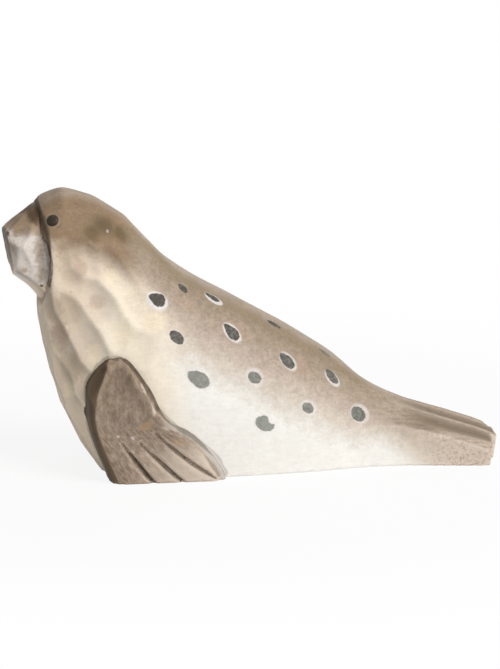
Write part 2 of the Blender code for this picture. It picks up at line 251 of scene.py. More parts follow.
class Dab(NamedTuple):
    """A touch of the brush in the side view: its middle, its size and its turn."""

    x: float
    z: float
    length: float
    height: float
    turn: float = 0.0


DABS = {
    "ear": (
        Dab(-46.8, 70.6, 6.5, 5.0, -20), Dab(-43.2, 72.4, 8.0, 5.0, -25),
        Dab(-38.8, 69.6, 8.0, 3.6, -42),
    ),
    "rose": (
        Dab(-53.0, 75.2, 8.0, 6.0, -15), Dab(-39.5, 65.0, 9.0, 5.0, -40), Dab(-50.5, 61.0, 5.0, 6.0, 10),
        Dab(-45.6, 51.3, 6.0, 5.5), Dab(-56.0, 42.0, 4.5, 9.0, 12), Dab(-6.0, 41.0, 12.0, 6.0, -25),
        Dab(12.0, 30.0, 10.0, 6.0, -25), Dab(-20.0, 49.0, 9.0, 5.0, -28),
    ),
    "cream": (
        Dab(-41.8, 58.4, 6.0, 4.5, -30), Dab(-38.5, 42.5, 9.0, 9.0), Dab(-46.8, 36.5, 5.5, 8.0),
        Dab(-30.0, 45.0, 8.0, 6.0, -20), Dab(-53.4, 24.6, 3.5, 7.0, 15),
    ),
    "tan": (
        Dab(-53.0, 66.0, 13.0, 12.0), Dab(-44.5, 62.0, 12.0, 9.0, -30),
        Dab(-56.8, 47.0, 5.0, 22.0, 8), Dab(-51.8, 33.0, 5.0, 10.0, 10),
    ),
    "scoop": (
        Dab(-45.6, 51.3, 10.5, 12.0), Dab(-48.7, 40.6, 8.5, 9.5), Dab(-47.0, 60.4, 8.0, 6.0, -25),
    ),
    # Facets of the throat and head that face away from the light, painted darker as a painted shade
    "facet_tan_shade": (
        Dab(-54.0, 49.5, 6.5, 11.0, 15), Dab(-53.0, 61.0, 7.5, 9.0, 5),
        Dab(-53.4, 32.0, 4.0, 10.0, 12),
    ),
    "facet_brown_shade": (
        Dab(-58.0, 49.5, 4.2, 9.0, 10), Dab(-56.2, 40.0, 4.6, 9.5, 12),
        Dab(-50.0, 71.0, 9.0, 6.0, -20),
    ),
    # Painted shade, over darker paint, in the recess where the muzzle meets the brow
    "brow": (Dab(-62.7, 75.0, 3.6, 4.6, 20), Dab(-62.0, 76.8, 2.4, 3.0)),
    "smudge": (
        Dab(-61.6, 66.0, 3.0, 9.0), Dab(-66.0, 71.0, 8.0, 2.4, -8), Dab(-61.0, 59.0, 3.0, 6.0),
        Dab(-69.0, 66.6, 2.6, 5.0, 10), Dab(-66.4, 59.5, 3.5, 2.0, 35),
    ),
    "mark": (Dab(-69.9, 70.0, 1.2, 1.8), Dab(-60.9, 55.3, 1.3, 1.1)),
    "glint": (Dab(-42.2, 70.7, 1.1, 1.1), Dab(-41.1, 13.8, 1.2, 1.2), Dab(-36.9, 13.2, 1.2, 1.4)),
    "streak": (
        Dab(-30.8, 21.4, 1.3, 6.0, 8), Dab(-33.6, 27.0, 1.0, 4.0, 20),
        Dab(-27.5, 15.5, 3.0, 1.2, -20),
    ),
    "ochre": (Dab(-33.2, 16.4, 5.0, 3.0), Dab(-24.0, 11.5, 5.0, 1.6, -25)),
}  # fmt: skip
FAR_DAB_SHIFT = 1.2
NO_DAB = -2.0

# Camera: the photograph's angle and framing
AZIMUTH, ELEVATION = -9.0, 13.0
CAMERA_DISTANCE = 2.5
PHOTO_HEIGHT = 669
PIXELS_PER_METRE = 3500.0
GROUND_BELOW_CENTRE = 0.0361
SENSOR = 36.0
CLIP_END = 100

# Floor, in metres: how white the camera sees it near the seal, and where it turns all white
FLOOR_CORNERS = [(-3, -3, 0), (3, -3, 0), (3, 6, 0), (-3, 6, 0)]
FLOOR_SHARE = 0.88
FLOOR_FADE = (0.09, 0.22)
FLOOR_WHITE = (0.97, 0.97, 0.97, 1.0)

SKY_STRENGTH = 0.21


class Lamp(NamedTuple):
    """A square soft box that faces the seal, in degrees, metres and watts."""

    name: str
    azimuth: float
    elevation: float
    distance: float
    size: float
    power: float


LAMPS = (
    Lamp("key", 38, 42, 1.4, 0.7, 14.5),
    Lamp("fill", -50, 30, 1.6, 1.2, 0.6),
    Lamp("back", 160, 38, 1.6, 1.0, 5),
)


def srgb(red, green, blue):
    """A paint's colour, from the 0 to 255 of a colour picker to Blender's linear values."""
    scaled = [c / 255 for c in (red, green, blue)]
    return (*(c / 12.92 if c <= 0.04045 else ((c + 0.055) / 1.055) ** 2.4 for c in scaled), 1.0)


# Paints, as they look under plain light
BACK_EDGE = srgb(176, 161, 145)
BACK_BROWN = srgb(156, 138, 115)
BACK_SOFT = srgb(168, 151, 131)
FLANK_BROWN = srgb(181, 163, 145)
FLANK_BEIGE = srgb(202, 185, 170)
FLANK_PALE = srgb(222, 210, 196)
BELLY_WHITE = srgb(251, 248, 241)
CHEST_CREAM = srgb(248, 233, 209)
CREAM = srgb(252, 236, 206)
TAN = srgb(190, 170, 147)
THROAT_BEIGE = srgb(232, 214, 191)
SCOOP_BEIGE = srgb(228, 211, 193)
ROSE = srgb(190, 163, 144)
HEAD_BROWN = srgb(146, 123, 98)
EAR_DARK = srgb(108, 90, 64)
MUZZLE_WHITE = srgb(240, 229, 219)
MUZZLE_GREY = srgb(194, 180, 166)
MUZZLE_BROWN = srgb(170, 147, 122)
NOSE_GREY = srgb(142, 131, 118)
# Dark paint of small marks, also the painted shade in hollows and along the muzzle's step
SHADE_AND_MARK_DARK = srgb(76, 60, 42)
# Painted shade in the recess under the brow and beside the step
RECESS_SHADE_BROWN = srgb(84, 66, 44)
SPOT_DARK = srgb(86, 80, 74)
SPOT_GREY = srgb(158, 159, 151)
# Pale rims of the spots, also painted highlights on ridges and glints
RIM_AND_HIGHLIGHT_WHITE = srgb(240, 234, 231)
FLIPPER_BROWN = srgb(182, 164, 146)
FLIPPER_DARK = srgb(122, 104, 86)
# Painted shade on the flippers' forward facets and leading edge
FLIPPER_PAINTED_SHADE = srgb(98, 83, 64)
FLIPPER_PALE = srgb(217, 201, 184)
CHIPPED_GREY = srgb(192, 184, 174)
GROOVE_DARK = srgb(84, 68, 51)
TAIL_TOP = srgb(190, 172, 154)
TAIL_DARK = srgb(116, 99, 78)
TAIL_PALE = srgb(230, 214, 198)
TAIL_SPECK = srgb(160, 138, 118)
OCHRE = srgb(196, 156, 112)
BARE_WOOD = srgb(226, 203, 168)
EYE_BLACK = srgb(38, 29, 19)
EYE_BROWN = srgb(66, 52, 35)

# Paints of the coat, each with its depth below the back
COAT_STOPS = (
    (0.0, BACK_EDGE),
    (1.6, BACK_EDGE),
    (3.6, BACK_BROWN),
    (5.4, BACK_BROWN),
    (8.2, BACK_SOFT),
    (12.6, FLANK_BROWN),
    (18.0, FLANK_BEIGE),
    (23.5, FLANK_PALE),
    (32.0, BELLY_WHITE),
)


def add_to_scene(name, data):
    """A new object in the scene, made of the data."""
    thing = bpy.data.objects.new(name, data)
    bpy.context.scene.collection.objects.link(thing)
    return thing


def direction(azimuth, elevation):
    """The way out from the seal, in degrees round from the near side and up from the floor."""
    a, e = math.radians(azimuth), math.radians(elevation)
    return Vector((math.sin(a) * math.cos(e), -math.cos(a) * math.cos(e), math.sin(e)))


def smooth_step(values, low, high):
    """Zero below low, one above high, and a smooth rise between."""
    share = np.clip((values - low) / (high - low), 0, 1)
    return share * share * (3 - 2 * share)


def curve_through(points, steps=6):
    """More points along a smooth curve that passes through the given ones."""
    rows = np.array(points, float)
    padded = np.vstack([2 * rows[0] - rows[1], rows, 2 * rows[-1] - rows[-2]])
    t = np.linspace(0, len(rows) - 1, (len(rows) - 1) * steps + 1)
    i = np.minimum(t.astype(int), len(rows) - 2)
    f = (t - i)[:, None]
    a, b, c, d = (padded[i + k] for k in range(4))
    return 0.5 * (
        2 * b + (c - a) * f + (2 * a - 5 * b + 4 * c - d) * f**2 + (3 * b - a - 3 * c + d) * f**3
    )


def bowed_line(start, end, bow):
    """Points from start to end along a line that bows out by so much."""
    start, end = np.array(start), np.array(end)
    run = end - start
    over = np.array((run[1], -run[0])) / np.linalg.norm(run)
    travel = np.linspace(0, 1, 9)[:, None]
    return start + run * travel + over * bow * 4 * travel * (1 - travel)


def line_distance(flat, line):
    """How far each side-view point lies from a line of points."""
    nearest = np.full(len(flat), np.inf)
    for start, end in zip(line[:-1], line[1:]):
        run = end - start
        share = np.clip(((flat - start) @ run) / (run @ run), 0, 1)
        gap = flat - start - share[:, None] * run
        nearest = np.minimum(nearest, np.hypot(gap[:, 0], gap[:, 1]))
    return nearest


def outline_distance(flat, outline):
    """How far each side-view point lies from a closed outline, less than zero inside it."""
    closed = np.vstack([outline, outline[:1]])
    inside = np.zeros(len(flat), bool)
    x, z = flat[:, 0], flat[:, 1]
    for (x0, z0), (x1, z1) in zip(closed[:-1], closed[1:]):
        if z0 == z1:
            continue
        crosses = (z0 > z) != (z1 > z)
        inside ^= crosses & (x < x0 + (z - z0) * (x1 - x0) / (z1 - z0))
    return np.where(inside, -1, 1) * line_distance(flat, closed)


class Skin:
    """The fine mesh of the seal, with its points in millimetres."""

    def __init__(self, source, name):
        self.object = add_to_scene(name, source.data.copy())
        remesh = self.object.modifiers.new("remesh", "REMESH")
        remesh.mode = "VOXEL"
        remesh.voxel_size = VOXEL * MM
        graph = bpy.context.evaluated_depsgraph_get()
        self.mesh = bpy.data.meshes.new_from_object(self.object.evaluated_get(graph))
        self.object.modifiers.clear()
        self.object.data = self.mesh
        edges = np.zeros(len(self.mesh.edges) * 2, np.int32)
        self.mesh.edges.foreach_get("vertices", edges)
        self.edges = edges.reshape(-1, 2)
        self.count = len(self.mesh.vertices)
        self.links = np.bincount(self.edges.ravel(), minlength=self.count)
        points = np.zeros(self.count * 3, np.float32)
        self.mesh.vertices.foreach_get("co", points)
        self.points = points.reshape(-1, 3).astype(float) / MM

    def spread(self, values, passes=1):
        """The mean of each point's neighbours, over and over for more passes."""
        one, two = self.edges.T
        for _ in range(passes):
            total = np.zeros(values.shape)
            for axis, column in enumerate(values.T):
                total[:, axis] = np.bincount(one, column[two], self.count)
                total[:, axis] += np.bincount(two, column[one], self.count)
            values = total / self.links[:, None]
        return values

    def relax(self, weight, passes):
        """Evens out small bumps, where the weight says, with no loss of volume."""
        for _ in range(passes):
            for push in RELAX_PUSHES:
                self.points += push * weight[:, None] * (self.spread(self.points) - self.points)

    def lay_on(self, source):
        """Moves each point to the nearest place on the solid's own surface."""
        places = [vert.co / MM for vert in source.data.vertices]
        tree = BVHTree.FromPolygons(places, [tuple(p.vertices) for p in source.data.polygons])
        found = [tree.find_nearest(Vector(point)) for point in self.points]
        self.points = np.array([place for place, _, _, _ in found])
        self.facing = np.array([normal for _, normal, _, _ in found])

    def store(self):
        """Writes the points back into the mesh."""
        self.mesh.vertices.foreach_set("co", (self.points * MM).astype(np.float32).ravel())
        self.mesh.update()

    def normals(self):
        """Which way each point faces."""
        self.store()
        vectors = np.zeros(self.count * 3, np.float32)
        self.mesh.vertex_normals.foreach_get("vector", vectors)
        return vectors.reshape(-1, 3).astype(float)

    def keep(self, name, values):
        """Stores a mask, or three numbers for each point, under a name that a material reads."""
        if values.ndim == 1:
            layer = self.mesh.attributes.new(name, "FLOAT", "POINT")
            layer.data.foreach_set("value", values.astype(np.float32))
        else:
            layer = self.mesh.attributes.new(name, "FLOAT_VECTOR", "POINT")
            layer.data.foreach_set("vector", values.astype(np.float32).ravel())


def flipper_distance(points):
    """Distance to the flipper's outline in the side view, for what lies out beside the chest."""
    front, rear = curve_through(FLIPPER_FRONT), curve_through(FLIPPER_REAR)
    reach = outline_distance(points[:, (0, 2)], np.vstack([front[::-1], rear]))
    beside = np.abs(points[:, 1]) > FLIPPER_INNER_Y
    return np.where(beside, reach, np.maximum(reach, FAR_FROM_FLIPPER))


def make_skin():
    """The seal's surface: evened out on the back and belly, still crisp where the knife cut."""
    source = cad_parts[SEAL]
    skin = Skin(source, "seal")
    skin.lay_on(source)
    x = skin.points[:, 0]
    on_base = skin.points[:, 2] < BASE_LEVEL
    body = smooth_step(x, *SMOOTH_FROM) * (1 - smooth_step(x, *SMOOTH_UNTIL))
    body *= smooth_step(flipper_distance(skin.points), *FLIPPER_BLEND)
    skin.relax(body * ~on_base, SMOOTH_PASSES)
    skin.relax(np.where(on_base, 0.0, SOFTEN), SOFTEN_PASSES)
    skin.points[:, 2] = np.maximum(skin.points[:, 2], 0)
    skin.points[on_base, 2] = 0
    return skin


def coat_depth(points):
    """How far each point lies below the back."""
    ridge = points[np.abs(points[:, 1]) < BACK_HALF_WIDTH]
    near = (np.abs(ridge[:, 0] - at) < SLICE_HALF_WIDTH for at in BACK_SLICES)
    heights = [ridge[inside, 2].max() for inside in near]
    heights = np.convolve(np.pad(heights, 1, mode="edge"), (0.25, 0.5, 0.25), mode="valid")
    top = np.interp(points[:, 0], BACK_SLICES, heights)
    depth = DEPTH_DOWN * (top - points[:, 2]) + DEPTH_ACROSS * np.abs(points[:, 1])
    return depth / np.interp(points[:, 0], *zip(*DEPTH_STRETCH))


def spot_reach(points, tree, spot, side):
    """How far each point is from the middle of a spot and of its rim, where 1 is their edge."""
    start = Vector((spot.x, 0, SPINE_Z - (spot.x - SPINE_X) * SPINE_FALL))
    turn = math.radians(spot.degrees)
    toward = Vector((0, side * math.cos(turn), math.sin(turn)))
    centre, normal, _, _ = tree.ray_cast(start, toward)
    along = Vector((1, 0, -SPINE_FALL))
    along = (along - normal * along.dot(normal)).normalized()
    over = normal.cross(along) * -side
    tilt = math.radians(spot.turn)
    long_way = np.array(along * math.cos(tilt) + over * math.sin(tilt))
    short_way = np.array(over * math.cos(tilt) - along * math.sin(tilt))
    half_length, half_breadth = spot.length / 2, spot.breadth / 2

    offset = points - np.array(centre)
    s, t = offset @ long_way / half_length, offset @ short_way / half_breadth
    away = np.hypot(s, t / np.clip(1 + spot.taper * s, *TAPER_RANGE))
    if spot.notch:
        notch_s, notch_t = NOTCH_PLACE
        away = np.maximum(away, 1 + spot.notch - np.hypot(s - notch_s, t - notch_t))
    moved = offset - np.array(along) * spot.rim_back + np.array(over) * spot.rim_down
    around = np.hypot(
        moved @ long_way / (half_length + spot.rim_width),
        moved @ short_way / (half_breadth + spot.rim_width),
    )
    other_side = np.abs(offset @ np.array(normal)) > spot.length
    return np.where(other_side, NO_SPOT, away), np.where(other_side, NO_SPOT, around)


def spot_layer(skin, tree, spots, side):
    """The nearest spot's edge, its rim's edge and how strong that is, and the spot's greyness."""
    edge = np.full(skin.count, NO_SPOT)
    rim_edge = np.full(skin.count, NO_SPOT)
    greyness, rim = np.zeros(skin.count), np.zeros(skin.count)
    for spot in spots:
        away, around = spot_reach(skin.points, tree, spot, side)
        nearer = around < rim_edge
        greyness[nearer] = spot.greyness
        rim[nearer] = spot.rim
        edge = np.minimum(edge, away)
        rim_edge = np.minimum(rim_edge, around)
    return np.stack([edge, rim_edge, rim], axis=1), greyness


def far_side(spots):
    """The other flank's spots, painted by eye to balance these."""
    chance = random.Random(FAR_SIDE_SEED)
    return [
        spot._replace(
            x=spot.x + chance.uniform(-2.2, 2.2),
            degrees=spot.degrees + chance.uniform(-4, 2),
            length=spot.length * chance.uniform(0.85, 1.15),
            turn=spot.turn + chance.uniform(-12, 12),
        )
        for spot in spots
    ]


def dab_layer(points, dabs):
    """One at the middle of the nearest dab, zero at its edge and less beyond."""
    x = points[:, 0] + np.where(points[:, 1] > 0, FAR_DAB_SHIFT, 0)
    best = np.full(len(points), NO_DAB)
    for dab in dabs:
        turn = math.radians(dab.turn)
        dx, dz = x - dab.x, points[:, 2] - dab.z
        s = (dx * math.cos(turn) + dz * math.sin(turn)) / (dab.length / 2)
        t = (dz * math.cos(turn) - dx * math.sin(turn)) / (dab.height / 2)
        best = np.maximum(best, 1 - np.hypot(s, t))
    return best


def carving_masks(skin, normals):
    """Ridges and hollows, and painted light and shade on facets that the knife turned away from the
    surface around them.
    """
    x, y, _ = skin.points.T
    average = skin.spread(skin.points, RIDGE_PASSES)
    ridge = ((skin.points - average) * normals).sum(axis=1) / RIDGE_HEIGHT
    skin.keep("ridge", np.clip(ridge, -RIDGE_LIMIT, RIDGE_LIMIT))
    turned = skin.facing - skin.spread(skin.facing, FACET_PASSES)
    # Painted light and shade: a facet is lighter as it turns towards the tail, outwards and up
    facet_shade = turned[:, 0] * FACET_LIT_X + turned[:, 1] * np.sign(y) * FACET_LIT_OUT + turned[:, 2] * FACET_LIT_Z
    carved = 1 - smooth_step(x, *SMOOTH_FROM)
    facet_shade = np.clip(facet_shade, -FACET_SHADE_LIMIT, FACET_SHADE_LIMIT) * carved
    skin.keep("facet_light_shade", skin.spread(facet_shade[:, None], FACET_SHADE_BLUR)[:, 0])


def flipper_masks(skin, normals):
    """The front flippers' outline, leading edge, strokes and grooves, and the hind ones' flutes."""
    side = skin.points[:, 1]
    flat = skin.points[:, (0, 2)]
    reach = flipper_distance(skin.points)
    on_wall = (np.abs(normals[:, 1]) < WALL_TILT) & (reach > 0) & (reach < WALL_REACH)
    reach = np.where(on_wall, reach * WALL_SHARE, reach)
    skin.keep("flipper", reach)
    skin.keep("lead", line_distance(flat, curve_through(FLIPPER_FRONT)))
    from_fan = flat - np.array(DIGIT_FAN)
    angle = np.arctan2(from_fan[:, 1], from_fan[:, 0]) * FAN_RADIUS
    travel = np.hypot(from_fan[:, 0], from_fan[:, 1])
    skin.keep("fan", np.stack([angle, travel, np.sign(side) * FAN_SIDE_SHIFT], axis=1))
    grooves = [line_distance(flat, bowed_line(*line)) for line in DIGIT_GROOVES]
    skin.keep("groove", np.where(reach < GROOVE_REACH, np.min(grooves, axis=0), NO_GROOVE))
    hollows = [1 - ((np.abs(side) - line) / FLUTE_HALF_WIDTH) ** 2 for line in FLUTE_LINES]
    skin.keep("flute", np.clip(np.max(hollows, axis=0), 0, 1))


def head_masks(skin):
    """The step between the muzzle and the face, and the edge of the crown's brown."""
    x, _, z = skin.points.T
    skin.keep("step", line_distance(skin.points[:, (0, 2)], curve_through(STEP_LINE)))
    upward = sorted((step_z, step_x) for step_x, step_z in STEP_LINE)
    skin.keep("behind_step", x - np.interp(z, *zip(*upward)))
    skin.keep("crown", z - np.interp(x, *zip(*CROWN_EDGE)))


def spot_masks(skin, tree):
    """The spots of the near flank, and those of the far one."""
    near, near_grey = spot_layer(skin, tree, SPOTS, -1)
    far, far_grey = spot_layer(skin, tree, far_side(SPOTS), 1)
    on_near = skin.points[:, 1] < 0
    skin.keep("spot", np.where(on_near[:, None], near, far))
    skin.keep("spot_greyness", np.where(on_near, near_grey, far_grey))


def find_eyes(skin, tree):
    """Where the eyes sit on the face, and which way they look; their paint's mask is stored."""
    eyes = []
    for side in (-1, 1):
        start = Vector((EYE_X, side * BESIDE_HEAD, EYE_Z))
        centre, normal, _, _ = tree.ray_cast(start, Vector((0, -side, 0)))
        eyes.append((centre, normal))
    gaps = [np.linalg.norm(skin.points - np.array(centre), axis=1) for centre, _ in eyes]
    skin.keep("eye", np.min(gaps, axis=0))
    return eyes


def add_masks(skin):
    """Stores where each paint lies, and finds the eyes."""
    normals = skin.normals()
    skin.keep("depth", coat_depth(skin.points))
    skin.keep("facing_up", normals[:, 2])
    skin.keep("facing_front", -normals[:, 0])
    carving_masks(skin, normals)
    flipper_masks(skin, normals)
    head_masks(skin)
    for name, dabs in DABS.items():
        skin.keep(name, dab_layer(skin.points, dabs))
    faces = [tuple(face.vertices) for face in skin.mesh.polygons]
    tree = BVHTree.FromPolygons(skin.points.tolist(), faces)
    spot_masks(skin, tree)
    return find_eyes(skin, tree)


class Paint:
    """Short names for the nodes of one material."""

    def __init__(self, name):
        self.material = bpy.data.materials.new(name)
        self.material.use_nodes = True
        self.nodes = self.material.node_tree.nodes
        self.links = self.material.node_tree.links
        self.shader = self.nodes["Principled BSDF"]

    def feed(self, socket, value):
        """Links a node's output to the socket, or sets the socket to a constant."""
        if isinstance(value, bpy.types.NodeSocket):
            self.links.new(value, socket)
        else:
            socket.default_value = value

    def mask(self, name, output="Fac"):
        """A mask that the skin keeps."""
        node = self.nodes.new("ShaderNodeAttribute")
        node.attribute_name = name
        return node.outputs[output]

    def split(self, vector):
        """The three parts of a vector."""
        node = self.nodes.new("ShaderNodeSeparateXYZ")
        self.feed(node.inputs[0], vector)
        return node.outputs

    def math(self, operation, *values, clamp=False):
        """One step of arithmetic."""
        node = self.nodes.new("ShaderNodeMath")
        node.operation = operation
        node.use_clamp = clamp
        for socket, value in zip(node.inputs, values):
            self.feed(socket, value)
        return node.outputs[0]

    def vector(self, operation, *values):
        """One step of arithmetic on vectors."""
        node = self.nodes.new("ShaderNodeVectorMath")
        node.operation = operation
        for socket, value in zip(node.inputs, values):
            self.feed(socket, value)
        return node.outputs["Value" if operation == "LENGTH" else "Vector"]

    def scaled(self, vector, factor):
        """A vector or a colour, times a number."""
        node = self.nodes.new("ShaderNodeVectorMath")
        node.operation = "SCALE"
        self.feed(node.inputs[0], vector)
        self.feed(node.inputs["Scale"], factor)
        return node.outputs[0]

    def stretched(self, vector, scale):
        """A vector with each axis multiplied by its own number."""
        return self.vector("MULTIPLY", vector, scale)

    def noise(self, vector, scale, detail=3.0, roughness=0.55):
        """Smooth noise of mean 0, mostly between -1 and 1."""
        node = self.nodes.new("ShaderNodeTexNoise")
        self.feed(node.inputs["Vector"], vector)
        node.inputs["Scale"].default_value = scale
        node.inputs["Detail"].default_value = detail
        node.inputs["Roughness"].default_value = roughness
        return self.math("MULTIPLY_ADD", node.outputs["Fac"], 4.0, -2.0)

    def step(self, value, low, high):
        """Zero at low and one at high, either way round."""
        node = self.nodes.new("ShaderNodeMapRange")
        node.interpolation_type = "SMOOTHSTEP"
        self.feed(node.inputs["Value"], value)
        flipped = low > high
        node.inputs["From Min"].default_value = min(low, high)
        node.inputs["From Max"].default_value = max(low, high)
        node.inputs["To Min"].default_value = 1.0 if flipped else 0.0
        node.inputs["To Max"].default_value = 0.0 if flipped else 1.0
        return node.outputs["Result"]

    def mix(self, share, under, over, blend="MIX"):
        """One colour laid over another."""
        node = self.nodes.new("ShaderNodeMix")
        node.data_type = "RGBA"
        node.blend_type = blend
        self.feed(node.inputs[0], share)
        self.feed(node.inputs[6], under)
        self.feed(node.inputs[7], over)
        return node.outputs[2]

    def ramp(self, value, stops):
        """A colour that changes with a value from 0 to 1."""
        node = self.nodes.new("ShaderNodeValToRGB")
        self.feed(node.inputs["Fac"], value)
        band = node.color_ramp
        while len(band.elements) < len(stops):
            band.elements.new(0.5)
        for element, (place, colour) in zip(band.elements, stops):
            element.position = place
            element.color = colour
        return node.outputs["Color"]

    def both(self, *shares):
        """Where all of the masks are on, times any plain shares."""
        total = shares[0]
        for share in shares[1:]:
            total = self.math("MULTIPLY", total, share)
        return total

    def shaken(self, value, noise, amount):
        """A value with some noise added, for ragged edges."""
        return self.math("MULTIPLY_ADD", noise, amount, value)


class SealPaint(Paint):
    """Matt paint, brushed on thinly and rubbed, over carved wood."""

    def __init__(self):
        super().__init__("seal_paint")
        place = self.nodes.new("ShaderNodeTexCoord").outputs["Object"]
        self.at = self.scaled(place, 1 / MM)
        self.x, self.y, self.z = self.split(self.at)
        self.depth = self.mask("depth")
        self.up = self.mask("facing_up")
        self.ridge = self.mask("ridge")
        self.cloud = self.noise(self.at, 0.16, 4.0, 0.6)
        self.blotch = self.noise(self.at, 0.42, 3.0, 0.6)
        self.speckle = self.noise(self.at, 1.1, 3.0, 0.7)
        self.grit = self.noise(self.at, 3.2, 2.0, 0.6)
        self.grain = self.noise(self.stretched(self.at, (0.25, 1.6, 1.6)), 1.0, 3.0, 0.6)

    def dabbed(self, coat, name, colour, strength, low=-0.1, high=0.55, ragged=1.0):
        """Touches of a colour, with soft and ragged edges."""
        spread = self.shaken(self.mask(name), self.blotch, 0.3 * ragged)
        spread = self.shaken(spread, self.speckle, 0.25 * ragged)
        return self.mix(self.both(self.step(spread, low, high), strength), coat, colour)

    def coat(self):
        """Brown on the back, fading down the flank to a white belly and a cream chest."""
        shifted = self.shaken(self.depth, self.cloud, 1.3)
        shifted = self.shaken(shifted, self.blotch, 1.1)
        shifted = self.shaken(shifted, self.speckle, 1.3)
        share = self.math("DIVIDE", shifted, DEPTH_SPAN, clamp=True)
        coat = self.ramp(share, [(depth / DEPTH_SPAN, paint) for depth, paint in COAT_STOPS])
        chest = self.step(self.shaken(self.x, self.cloud, 2.5), *CHEST_ALONG)
        chest = self.both(chest, self.step(self.depth, *CHEST_DEPTH), 0.85)
        coat = self.mix(chest, coat, CHEST_CREAM)
        throat = self.step(self.shaken(self.x, self.blotch, 1.5), *THROAT_ALONG)
        throat = self.both(throat, self.step(self.depth, *THROAT_DEPTH), 0.9)
        coat = self.mix(throat, coat, THROAT_BEIGE)
        coat = self.dabbed(coat, "tan", TAN, 0.5, -0.2, 0.6)
        coat = self.dabbed(coat, "scoop", SCOOP_BEIGE, 0.6, -0.25, 0.3, 0.7)
        # Painted shade on facets of the throat and head that face away from the light
        coat = self.dabbed(coat, "facet_tan_shade", TAN, 0.45, -0.3, 0.35, 0.7)
        coat = self.dabbed(coat, "facet_brown_shade", FLANK_BROWN, 0.4, -0.3, 0.35, 0.7)
        coat = self.dabbed(coat, "rose", ROSE, 0.45)
        return self.dabbed(coat, "cream", CREAM, 0.5)

    def tail(self, coat):
        """Hind flippers: brown on top, with painted shade in the flutes, pale and speckled on their
        sides.
        """
        along = self.shaken(self.x, self.blotch, 2.5)
        fine = self.shaken(self.speckle, self.grit, 0.7)
        side = self.mix(self.step(fine, -0.5, 1.3), TAIL_PALE, TAIL_SPECK)
        side = self.mix(self.both(self.step(self.grit, 0.5, 1.1), 0.55), side, TAIL_DARK)
        cream = self.both(self.step(self.x, *TAIL_CREAM_ALONG), self.step(self.z, *TAIL_CREAM_HEIGHT))
        side = self.mix(self.both(cream, 0.7), side, CHEST_CREAM)
        # Painted shade in the flutes along the tops of the hind flippers
        hollow_shade = self.both(self.mask("flute"), self.step(self.x, *FLUTES_ALONG))
        top = self.mix(self.both(hollow_shade, 0.95), TAIL_TOP, TAIL_DARK)
        top = self.mix(self.both(self.step(self.grain, -0.3, 1.0), 0.55), top, TAIL_DARK)
        top = self.mix(self.both(self.step(self.speckle, 0.3, 1.3), 0.4), top, FLIPPER_PALE)
        above = self.step(self.shaken(self.up, self.speckle, 0.03), *TAIL_TOP_UP)
        coat = self.mix(self.both(self.step(along, *TAIL_SIDES_ALONG), 0.95), coat, side)
        return self.mix(self.both(above, self.step(along, *TAIL_TOP_ALONG), 0.92), coat, top)

    def head(self, coat):
        """A mottled brown crown, a pale muzzle and a dark nose, with painted shade along the step to the
        face and under the brow.
        """
        crown = self.shaken(self.mask("crown"), self.blotch, 1.3)
        crown = self.shaken(crown, self.speckle, 0.6)
        where = self.both(self.step(crown, *CROWN_BLEND), self.step(self.x, *HEAD_ALONG))
        coat = self.mix(where, coat, HEAD_BROWN)
        rubbed = self.both(where, self.step(self.speckle, 0.2, 1.4))
        coat = self.mix(self.both(rubbed, 0.4), coat, TAN)
        coat = self.dabbed(coat, "ear", EAR_DARK, 0.8, -0.3, 0.7)
        crown_top = self.both(self.step(self.depth, *CROWN_TOP_DEPTH), where, 0.6)
        coat = self.mix(crown_top, coat, BACK_EDGE)

        face = self.step(self.x, *FACE_ALONG)
        before_step = self.step(self.mask("behind_step"), *MUZZLE_BLEND)
        muzzle = self.both(before_step, face, self.step(self.z, *MUZZLE_HEIGHT))
        smoky = self.shaken(self.speckle, self.blotch, 0.6)
        side = self.mix(self.step(smoky, -0.6, 1.8), MUZZLE_WHITE, MUZZLE_GREY)
        above = self.shaken(self.z, self.blotch, 0.9)
        side = self.mix(self.step(above, *MUZZLE_BROWN_HEIGHT), side, MUZZLE_BROWN)
        side = self.dabbed(side, "smudge", MUZZLE_BROWN, 0.6, -0.4, 0.8)
        front = self.step(self.mask("facing_front"), *NOSE_FORWARD)
        chin = self.step(self.shaken(self.z, self.blotch, 1.0), *CHIN_HEIGHT)
        nose = self.mix(chin, NOSE_GREY, MUZZLE_GREY)
        coat = self.mix(muzzle, coat, self.mix(front, side, nose))
        # Painted shade, over darker paint, in the recess where the muzzle meets the brow
        coat = self.dabbed(coat, "brow", RECESS_SHADE_BROWN, 0.9, -0.4, 0.6)
        # A dark line along the step from the muzzle to the face: dark paint, deepened as a painted shade
        # in the corner
        line = self.shaken(self.mask("step"), self.speckle, 0.12)
        line = self.both(self.step(line, *STEP_SHADE_LINE_BLEND), face, 0.75)
        coat = self.mix(line, coat, SHADE_AND_MARK_DARK)
        soft = self.both(self.step(self.mask("step"), *STEP_SHADE_BLEND), face, 0.15)
        coat = self.mix(soft, coat, RECESS_SHADE_BROWN)
        return self.dabbed(coat, "mark", SHADE_AND_MARK_DARK, 0.85, 0.0, 0.5)

    def spots(self, coat):
        """Dark and grey spots, with a pale rim where the brush left one."""
        edge, rim_edge, rim = self.split(self.mask("spot", "Vector"))
        rim_edge = self.shaken(self.shaken(rim_edge, self.speckle, 0.1), self.blotch, 0.06)
        coat = self.mix(self.both(self.step(rim_edge, *RIM_BLEND), rim), coat, RIM_AND_HIGHLIGHT_WHITE)
        grey = self.mask("spot_greyness")
        grey = self.shaken(self.shaken(grey, self.blotch, 0.2), self.speckle, 0.3)
        edge = self.shaken(self.shaken(edge, self.speckle, 0.07), self.blotch, 0.05)
        paint = self.mix(grey, SPOT_DARK, SPOT_GREY)
        return self.mix(self.step(edge, *SPOT_BLEND), coat, paint)

